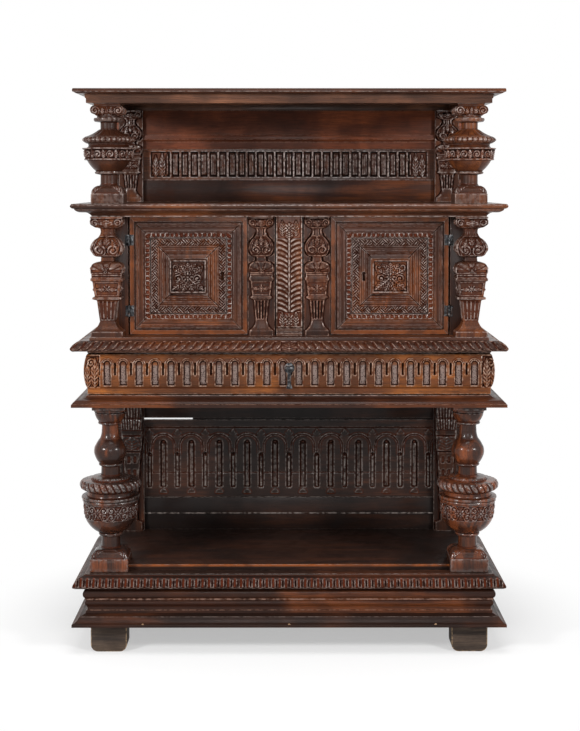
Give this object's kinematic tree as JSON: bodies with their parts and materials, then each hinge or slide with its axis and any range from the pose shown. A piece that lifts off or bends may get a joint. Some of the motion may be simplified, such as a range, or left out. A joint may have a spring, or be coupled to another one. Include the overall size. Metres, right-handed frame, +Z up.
{
  "type": "court cupboard",
  "caption": "Carved court cupboard with open stages on turned columns, a frieze drawer, two panelled doors and a moulded cornice.",
  "frame": {"origin": "on the floor, in the middle of the cupboard's plan", "axes": "+Z up, +Y to the back, so the doors and drawer face -Y; +X to the right seen from the front"},
  "size_m": [1.2, 0.5, 1.565],
  "materials": {
    "walnut": "waxed dark walnut with orange-brown highlights",
    "black_walnut": "waxed walnut darkened nearly black",
    "worn_oak": "dry greyish oak, unwaxed and worn",
    "drawer_oak": "plain oak, unwaxed",
    "wrought_iron": "hand-forged iron, dark with rubbed edges"
  },
  "bodies": {
    "case": {"base_moulding": "black_walnut", "base_pegs": "drawer_oak", "case_back": "black_walnut", "case_side_left": "walnut", "case_side_right": "walnut", "centre_panel": "walnut", "centre_stile": "walnut", "corner_term_left": "walnut", "corner_term_right": "walnut", "cornice_frieze": "walnut", "deck_board": "walnut", "deck_moulding": "walnut", "door_posts": "walnut", "drawer_runners": "drawer_oak", "floor_board": "black_walnut", "foot_front_left": "worn_oak", "foot_front_right": "worn_oak", "foot_rear_left": "worn_oak", "foot_rear_right": "worn_oak", "frieze_back": "black_walnut", "frieze_side_left": "walnut", "frieze_side_right": "walnut", "hinge_plates": "wrought_iron", "inner_pilaster_left": "walnut", "inner_pilaster_right": "walnut", "lower_back_boards": "black_walnut", "lower_back_panel": "black_walnut", "lower_column_left": "black_walnut", "lower_column_right": "black_walnut", "lower_pilaster_left": "black_walnut", "lower_pilaster_right": "black_walnut", "nulled_moulding": "black_walnut", "plinth_rails": "black_walnut", "shelf_board": "walnut", "top_board": "walnut", "upper_back_boards": "walnut", "upper_back_panel": "walnut", "upper_baluster_left": "walnut", "upper_baluster_right": "walnut", "upper_pilaster_left": "walnut", "upper_pilaster_right": "walnut", "waist_board": "walnut"},
    "left_door": {"door_left_frame": "walnut", "door_left_panel": "walnut", "door_left_block": "walnut", "hinge_straps_left": "wrought_iron", "lock_case_left": "wrought_iron"},
    "right_door": {"door_right_frame": "walnut", "door_right_panel": "walnut", "door_right_block": "walnut", "hinge_straps_right": "wrought_iron", "lock_case_right": "wrought_iron"},
    "drawer": {"drawer_front": "walnut", "drawer_sides": "drawer_oak", "drawer_back": "drawer_oak", "drawer_bottom": "drawer_oak", "pull_staple": "wrought_iron"},
    "pull": {"drop_pull": "wrought_iron"},
    "left_bolt": {"lock_bolt_left": "wrought_iron"},
    "right_bolt": {"lock_bolt_right": "wrought_iron"}
  },
  "joints": [
    {"name": "left_door_hinge", "type": "hinge", "parent": "case", "child": "left_door", "pos_m": [-0.449, -0.1445, 1.047], "axis": [0, 0, -1], "range_deg": [0, 85]},
    {"name": "right_door_hinge", "type": "hinge", "parent": "case", "child": "right_door", "pos_m": [0.449, -0.1445, 1.047], "axis": [0, 0, 1], "range_deg": [0, 85]},
    {"name": "drawer_slide", "type": "slide", "parent": "case", "child": "drawer", "axis": [0, -1, 0], "range_m": [0, 0.3]},
    {"name": "pull_swing", "type": "hinge", "parent": "drawer", "child": "pull", "pos_m": [0, -0.225, 0.797], "axis": [-1, 0, 0], "range_deg": [0, 80]},
    {"name": "left_bolt_slide", "type": "slide", "parent": "left_door", "child": "left_bolt", "axis": [1, 0, 0], "range_m": [0, 0.012]},
    {"name": "right_bolt_slide", "type": "slide", "parent": "right_door", "child": "right_bolt", "axis": [-1, 0, 0], "range_m": [0, 0.012]}
  ]
}
